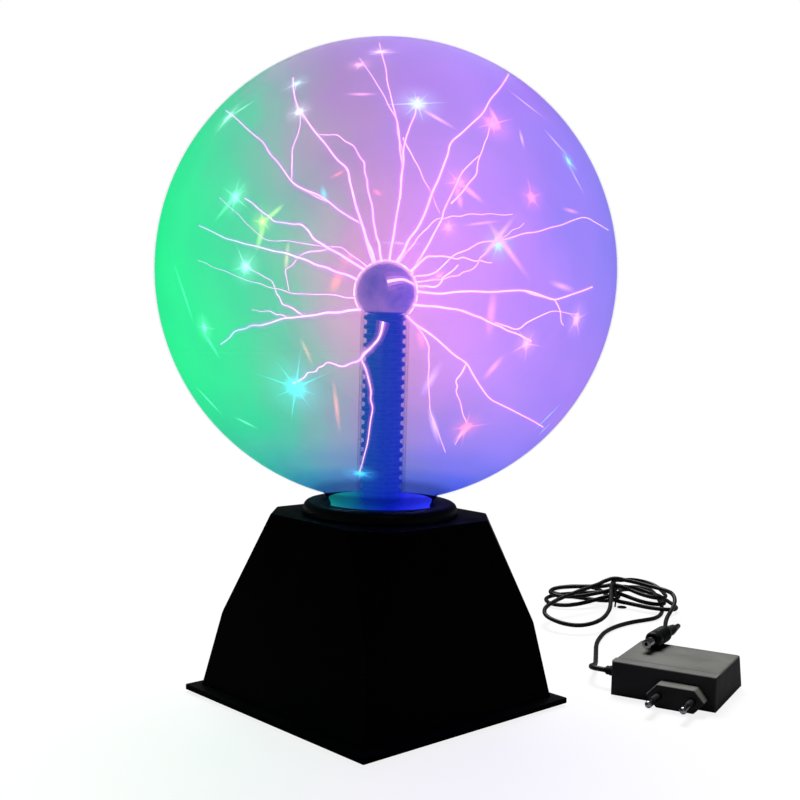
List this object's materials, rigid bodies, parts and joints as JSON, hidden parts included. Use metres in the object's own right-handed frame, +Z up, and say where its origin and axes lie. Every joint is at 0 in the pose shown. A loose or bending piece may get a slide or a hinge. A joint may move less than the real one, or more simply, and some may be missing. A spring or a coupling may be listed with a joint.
{
  "type": "plasma ball",
  "caption": "Glass plasma globe with a central electrode on a black four-sided tapering stand with cut corners, beside its plug-in adapter and tied cord.",
  "frame": {"origin": "under the centre of the stand, on the plane that its rubber feet rest on", "axes": "+Z up through the globe; the rear wall with the power socket and the switch faces +Y; the wall adapter lies at +X +Y"},
  "size_m": [0.2703, 0.5045, 0.3613],
  "materials": {
    "clear_glass": "gloss",
    "stem_glass": "gloss",
    "sleeve_plastic": "satin",
    "steel_wool": "matte",
    "steel": "satin",
    "brass": "satin",
    "black_abs": "satin",
    "rubber": "matte",
    "phenolic": "satin",
    "laminate": "satin",
    "ferrite": "matte",
    "copper_winding": "satin",
    "aluminium": "satin",
    "epoxy": "satin",
    "can_sleeve": "gloss",
    "film_case": "gloss",
    "lead_insulation": "satin",
    "adapter_abs": "satin",
    "chrome": "gloss",
    "cord_pvc": "satin",
    "plasma_light": "gloss"
  },
  "bodies": {
    "stand": {"globe_glass": "clear_glass", "stem_glass": "stem_glass", "stem_sleeve": "sleeve_plastic", "electrode_wool": "steel_wool", "hv_rod": "steel", "hv_contact_cap": "brass", "base_shell": "black_abs", "collar_ring": "black_abs", "neck_gasket": "rubber", "neck_clamp": "phenolic", "bottom_cover": "black_abs", "driver_board": "laminate", "flyback_core": "ferrite", "flyback_winding": "copper_winding", "heat_sink": "aluminium", "power_transistor": "epoxy", "bulk_capacitor": "can_sleeve", "film_capacitor": "film_case", "sound_chip": "epoxy", "microphone": "aluminium", "hv_lead": "lead_insulation", "dc_jack": "phenolic", "jack_nut": "steel", "rocker_housing": "black_abs", "jack_lead": "lead_insulation", "switch_lead": "lead_insulation", "rubber_foot_1": "rubber", "cover_screw_1": "steel", "board_screw_1": "steel", "rubber_foot_2": "rubber", "cover_screw_2": "steel", "board_screw_2": "steel", "rubber_foot_3": "rubber", "cover_screw_3": "steel", "board_screw_3": "steel", "rubber_foot_4": "rubber", "cover_screw_4": "steel", "board_screw_4": "steel"},
    "rocker": {"rocker_button": "black_abs"},
    "adapter": {"adapter_front": "adapter_abs", "adapter_rear": "adapter_abs", "plug_pin_left": "chrome", "plug_pin_right": "chrome", "pin_sleeve_left": "phenolic", "pin_sleeve_right": "phenolic", "adapter_board": "laminate", "adapter_transformer": "ferrite", "strain_relief": "cord_pvc", "cord_adapter_end": "cord_pvc", "cord_hank": "cord_pvc", "hank_tie": "cord_pvc", "cord_plug_end": "cord_pvc", "plug_barrel": "chrome", "plug_grip": "cord_pvc", "plug_boot": "cord_pvc"}
  },
  "joints": [
    {"name": "rocker_hinge", "type": "hinge", "parent": "stand", "child": "rocker", "pos_m": [-0.022, 0.06326, 0.036], "axis": [1, 0, 0], "range_deg": [0, 20]},
    {"name": "adapter_lift", "type": "slide", "parent": "stand", "child": "adapter", "axis": [0, 0, 1], "range_m": [0, 0.06]}
  ]
}
